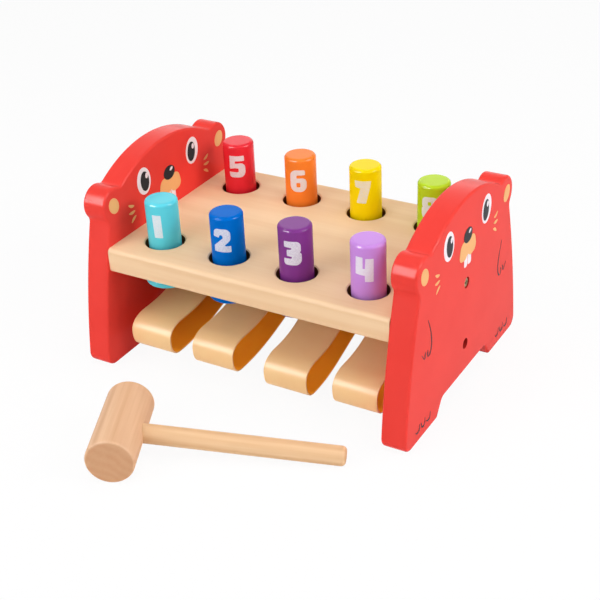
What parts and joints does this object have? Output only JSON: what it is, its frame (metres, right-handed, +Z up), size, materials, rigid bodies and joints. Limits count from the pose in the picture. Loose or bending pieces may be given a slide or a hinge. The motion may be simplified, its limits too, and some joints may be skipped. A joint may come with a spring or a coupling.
{
  "type": "whack-a-mole pounding bench",
  "caption": "Wooden pounding toy: a board with numbered sliding pegs between two red animal-shaped end panels, springy straps below, and a loose mallet lying in front.",
  "frame": {"origin": "on the floor, under the middle of the box round the bench and its mallet", "axes": "+X along the board to the right, +Y to the back of the bench, +Z up"},
  "size_m": [0.252, 0.2958, 0.1432],
  "materials": {
    "panel_paint": "red satin paint on wood",
    "board_wood": "pale sanded hardwood, clear matt lacquer",
    "bar_wood": "bare sanded dowel",
    "cyan_paint": "cyan satin paint on wood",
    "blue_paint": "blue satin paint on wood",
    "purple_paint": "purple satin paint on wood",
    "lavender_paint": "lavender satin paint on wood",
    "red_paint": "red satin paint on wood",
    "orange_paint": "orange satin paint on wood",
    "yellow_paint": "yellow satin paint on wood",
    "green_paint": "green satin paint on wood",
    "strap_band": "tan springy band, satin",
    "ring_rubber": "matt",
    "screw_steel": "zinc plated",
    "mallet_wood": "pale beech, clear matt lacquer"
  },
  "bodies": {
    "bench": {"left_panel": "panel_paint", "right_panel": "panel_paint", "top_board": "board_wood", "crossbar": "bar_wood", "strap_1": "strap_band", "strap_2": "strap_band", "strap_3": "strap_band", "strap_4": "strap_band", "friction_rings": "ring_rubber", "board_screws": "screw_steel", "crossbar_screws": "screw_steel", "board_dowels": "bar_wood", "strap_tacks": "screw_steel"},
    "peg_1": {"peg_1": "cyan_paint"},
    "peg_2": {"peg_2": "blue_paint"},
    "peg_3": {"peg_3": "purple_paint"},
    "peg_4": {"peg_4": "lavender_paint"},
    "peg_5": {"peg_5": "red_paint"},
    "peg_6": {"peg_6": "orange_paint"},
    "peg_7": {"peg_7": "yellow_paint"},
    "peg_8": {"peg_8": "green_paint"},
    "mallet": {"mallet_head": "mallet_wood", "mallet_handle": "mallet_wood"}
  },
  "joints": [
    {"name": "peg_1_slide", "type": "slide", "parent": "bench", "child": "peg_1", "axis": [0, 0, 1], "range_m": [-0.0325, 0.0063], "deforming": ["strap_1"]},
    {"name": "peg_2_slide", "type": "slide", "parent": "bench", "child": "peg_2", "axis": [0, 0, 1], "range_m": [-0.0335, 0.0053], "deforming": ["strap_2"]},
    {"name": "peg_3_slide", "type": "slide", "parent": "bench", "child": "peg_3", "axis": [0, 0, 1], "range_m": [-0.036, 0.0028], "deforming": ["strap_3"]},
    {"name": "peg_4_slide", "type": "slide", "parent": "bench", "child": "peg_4", "axis": [0, 0, 1], "range_m": [-0.0365, 0.0023], "deforming": ["strap_4"]},
    {"name": "peg_5_slide", "type": "slide", "parent": "bench", "child": "peg_5", "axis": [0, 0, 1], "range_m": [-0.037, 0.0018], "deforming": ["strap_1"]},
    {"name": "peg_6_slide", "type": "slide", "parent": "bench", "child": "peg_6", "axis": [0, 0, 1], "range_m": [-0.0355, 0.0033], "deforming": ["strap_2"]},
    {"name": "peg_7_slide", "type": "slide", "parent": "bench", "child": "peg_7", "axis": [0, 0, 1], "range_m": [-0.037, 0.0018], "deforming": ["strap_3"]},
    {"name": "peg_8_slide", "type": "slide", "parent": "bench", "child": "peg_8", "axis": [0, 0, 1], "range_m": [-0.035, 0.0038], "deforming": ["strap_4"]},
    {"name": "mallet_lift", "type": "slide", "parent": "bench", "child": "mallet", "axis": [0, 0, 1], "range_m": [0, 0.2]}
  ]
}
